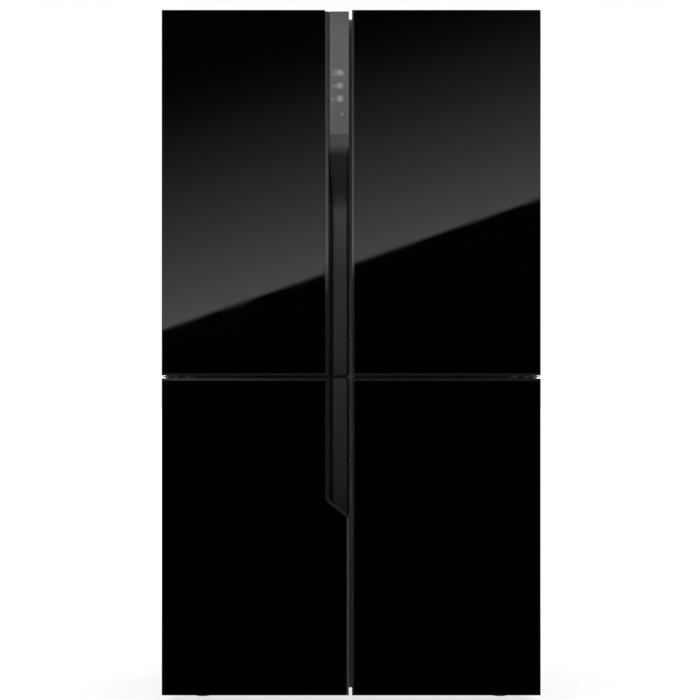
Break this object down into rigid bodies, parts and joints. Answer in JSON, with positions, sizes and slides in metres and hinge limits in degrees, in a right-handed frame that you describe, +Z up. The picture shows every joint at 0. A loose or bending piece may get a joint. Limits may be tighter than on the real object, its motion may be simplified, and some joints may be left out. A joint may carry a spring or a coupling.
{
  "type": "side by side refrigerator",
  "caption": "Free-standing side by side refrigerator with flush black glass doors, a recessed vertical grip strip with touch display, shelves above and freezer drawers below.",
  "frame": {"origin": "on the floor, under the middle of the appliance's box", "axes": "+Z up, the doors face -Y, +X to the right of someone facing the doors"},
  "size_m": [0.984, 0.712, 1.8],
  "materials": {
    "black_glass": "polished",
    "door_black": "satin",
    "grip_grey": "satin",
    "display_grey": "satin",
    "board_green": "matte",
    "liner_white": "gloss",
    "gasket_grey": "matte",
    "clear_plastic": "gloss",
    "shelf_glass": "polished",
    "lens_white": "satin",
    "cabinet_paint": "satin",
    "zinc_steel": "satin",
    "foam": "matte",
    "coil_black": "satin",
    "evaporator_alloy": "satin",
    "pot_black": "gloss",
    "rubber_black": "matte",
    "grey_plastic": "satin",
    "black_plastic": "satin"
  },
  "bodies": {
    "cabinet": {"cabinet_wrapper": "cabinet_paint", "back_panel": "zinc_steel", "base_plate": "zinc_steel", "insulation_foam": "foam", "front_cross_frame": "cabinet_paint", "fridge_liners": "liner_white", "freezer_liners": "liner_white", "glass_shelves": "shelf_glass", "air_duct_covers": "liner_white", "light_covers": "lens_white", "evaporator_coil": "evaporator_alloy", "compressor": "pot_black", "compressor_mounts": "rubber_black", "condenser_coil": "coil_black", "fan_shroud": "black_plastic", "drip_tray": "grey_plastic", "machine_cover": "zinc_steel", "cord_gland": "rubber_black", "wall_spacers": "grey_plastic", "roller_axles": "zinc_steel", "hinge_brackets": "zinc_steel", "hinge_pins": "zinc_steel", "hinge_screws": "zinc_steel", "hinge_covers": "black_plastic"},
    "upper_left_door": {"upper_left_door_core": "door_black", "upper_left_door_glass": "black_glass", "upper_left_door_liner": "liner_white", "upper_left_door_gasket": "gasket_grey", "upper_left_bins": "clear_plastic", "upper_grip": "grip_grey", "display_panel": "display_grey", "control_board": "board_green"},
    "lower_left_door": {"lower_left_door_core": "door_black", "lower_left_door_glass": "black_glass", "lower_left_door_liner": "liner_white", "lower_left_door_gasket": "gasket_grey", "lower_grip": "grip_grey"},
    "crisper_left": {"crisper_left": "clear_plastic"},
    "freezer_drawer_bottom_left": {"freezer_drawer_bottom_left": "clear_plastic"},
    "freezer_drawer_middle_left": {"freezer_drawer_middle_left": "clear_plastic"},
    "freezer_drawer_top_left": {"freezer_drawer_top_left": "clear_plastic"},
    "front_foot_left": {"front_foot_left": "black_plastic"},
    "rear_roller_left": {"rear_roller_left": "grey_plastic"},
    "upper_right_door": {"upper_right_door_core": "door_black", "upper_right_door_glass": "black_glass", "upper_right_door_liner": "liner_white", "upper_right_door_gasket": "gasket_grey", "upper_right_bins": "clear_plastic"},
    "lower_right_door": {"lower_right_door_core": "door_black", "lower_right_door_glass": "black_glass", "lower_right_door_liner": "liner_white", "lower_right_door_gasket": "gasket_grey"},
    "crisper_right": {"crisper_right": "clear_plastic"},
    "freezer_drawer_bottom_right": {"freezer_drawer_bottom_right": "clear_plastic"},
    "freezer_drawer_middle_right": {"freezer_drawer_middle_right": "clear_plastic"},
    "freezer_drawer_top_right": {"freezer_drawer_top_right": "clear_plastic"},
    "front_foot_right": {"front_foot_right": "black_plastic"},
    "rear_roller_right": {"rear_roller_right": "grey_plastic"},
    "evaporator_fan": {"evaporator_fan": "black_plastic"},
    "condenser_fan": {"condenser_fan": "black_plastic"}
  },
  "joints": [
    {"name": "upper_left_door_hinge", "type": "hinge", "parent": "cabinet", "child": "upper_left_door", "pos_m": [-0.48, -0.33, 1.3255], "axis": [0, 0, -1], "range_deg": [0, 120]},
    {"name": "lower_left_door_hinge", "type": "hinge", "parent": "cabinet", "child": "lower_left_door", "pos_m": [-0.48, -0.33, 0.4315], "axis": [0, 0, -1], "range_deg": [0, 120]},
    {"name": "crisper_left_slide", "type": "slide", "parent": "cabinet", "child": "crisper_left", "axis": [0, -1, 0], "range_m": [0, 0.26]},
    {"name": "freezer_drawer_bottom_left_slide", "type": "slide", "parent": "cabinet", "child": "freezer_drawer_bottom_left", "axis": [0, -1, 0], "range_m": [0, 0.22]},
    {"name": "freezer_drawer_middle_left_slide", "type": "slide", "parent": "cabinet", "child": "freezer_drawer_middle_left", "axis": [0, -1, 0], "range_m": [0, 0.32]},
    {"name": "freezer_drawer_top_left_slide", "type": "slide", "parent": "cabinet", "child": "freezer_drawer_top_left", "axis": [0, -1, 0], "range_m": [0, 0.32]},
    {"name": "front_foot_left_thread", "type": "hinge", "parent": "cabinet", "child": "front_foot_left", "pos_m": [-0.394, -0.214, 0.01], "axis": [0, 0, 1], "continuous": true},
    {"name": "rear_roller_left_axle", "type": "hinge", "parent": "cabinet", "child": "rear_roller_left", "pos_m": [-0.416, 0.286, 0.013], "axis": [1, 0, 0], "continuous": true},
    {"name": "upper_right_door_hinge", "type": "hinge", "parent": "cabinet", "child": "upper_right_door", "pos_m": [0.48, -0.33, 1.3255], "axis": [0, 0, 1], "range_deg": [0, 120]},
    {"name": "lower_right_door_hinge", "type": "hinge", "parent": "cabinet", "child": "lower_right_door", "pos_m": [0.48, -0.33, 0.4315], "axis": [0, 0, 1], "range_deg": [0, 120]},
    {"name": "crisper_right_slide", "type": "slide", "parent": "cabinet", "child": "crisper_right", "axis": [0, -1, 0], "range_m": [0, 0.26]},
    {"name": "freezer_drawer_bottom_right_slide", "type": "slide", "parent": "cabinet", "child": "freezer_drawer_bottom_right", "axis": [0, -1, 0], "range_m": [0, 0.22]},
    {"name": "freezer_drawer_middle_right_slide", "type": "slide", "parent": "cabinet", "child": "freezer_drawer_middle_right", "axis": [0, -1, 0], "range_m": [0, 0.32]},
    {"name": "freezer_drawer_top_right_slide", "type": "slide", "parent": "cabinet", "child": "freezer_drawer_top_right", "axis": [0, -1, 0], "range_m": [0, 0.32]},
    {"name": "front_foot_right_thread", "type": "hinge", "parent": "cabinet", "child": "front_foot_right", "pos_m": [0.394, -0.214, 0.01], "axis": [0, 0, 1], "continuous": true},
    {"name": "rear_roller_right_axle", "type": "hinge", "parent": "cabinet", "child": "rear_roller_right", "pos_m": [0.416, 0.286, 0.013], "axis": [1, 0, 0], "continuous": true},
    {"name": "evaporator_fan_shaft", "type": "hinge", "parent": "cabinet", "child": "evaporator_fan", "pos_m": [-0.2315, 0.224, 0.694], "axis": [0, 1, 0], "continuous": true},
    {"name": "condenser_fan_shaft", "type": "hinge", "parent": "cabinet", "child": "condenser_fan", "pos_m": [-0.007, 0.2455, 0.137], "axis": [1, 0, 0], "continuous": true}
  ],
  "couplings": [
    {"joint": "crisper_left_slide", "follows": "upper_left_door_hinge", "m_per_rad": 0.05},
    {"joint": "freezer_drawer_bottom_left_slide", "follows": "lower_left_door_hinge", "m_per_rad": 0.05},
    {"joint": "freezer_drawer_middle_left_slide", "follows": "lower_left_door_hinge", "m_per_rad": 0.05},
    {"joint": "freezer_drawer_top_left_slide", "follows": "lower_left_door_hinge", "m_per_rad": 0.05},
    {"joint": "crisper_right_slide", "follows": "upper_right_door_hinge", "m_per_rad": 0.05},
    {"joint": "freezer_drawer_bottom_right_slide", "follows": "lower_right_door_hinge", "m_per_rad": 0.05},
    {"joint": "freezer_drawer_middle_right_slide", "follows": "lower_right_door_hinge", "m_per_rad": 0.05},
    {"joint": "freezer_drawer_top_right_slide", "follows": "lower_right_door_hinge", "m_per_rad": 0.05}
  ]
}
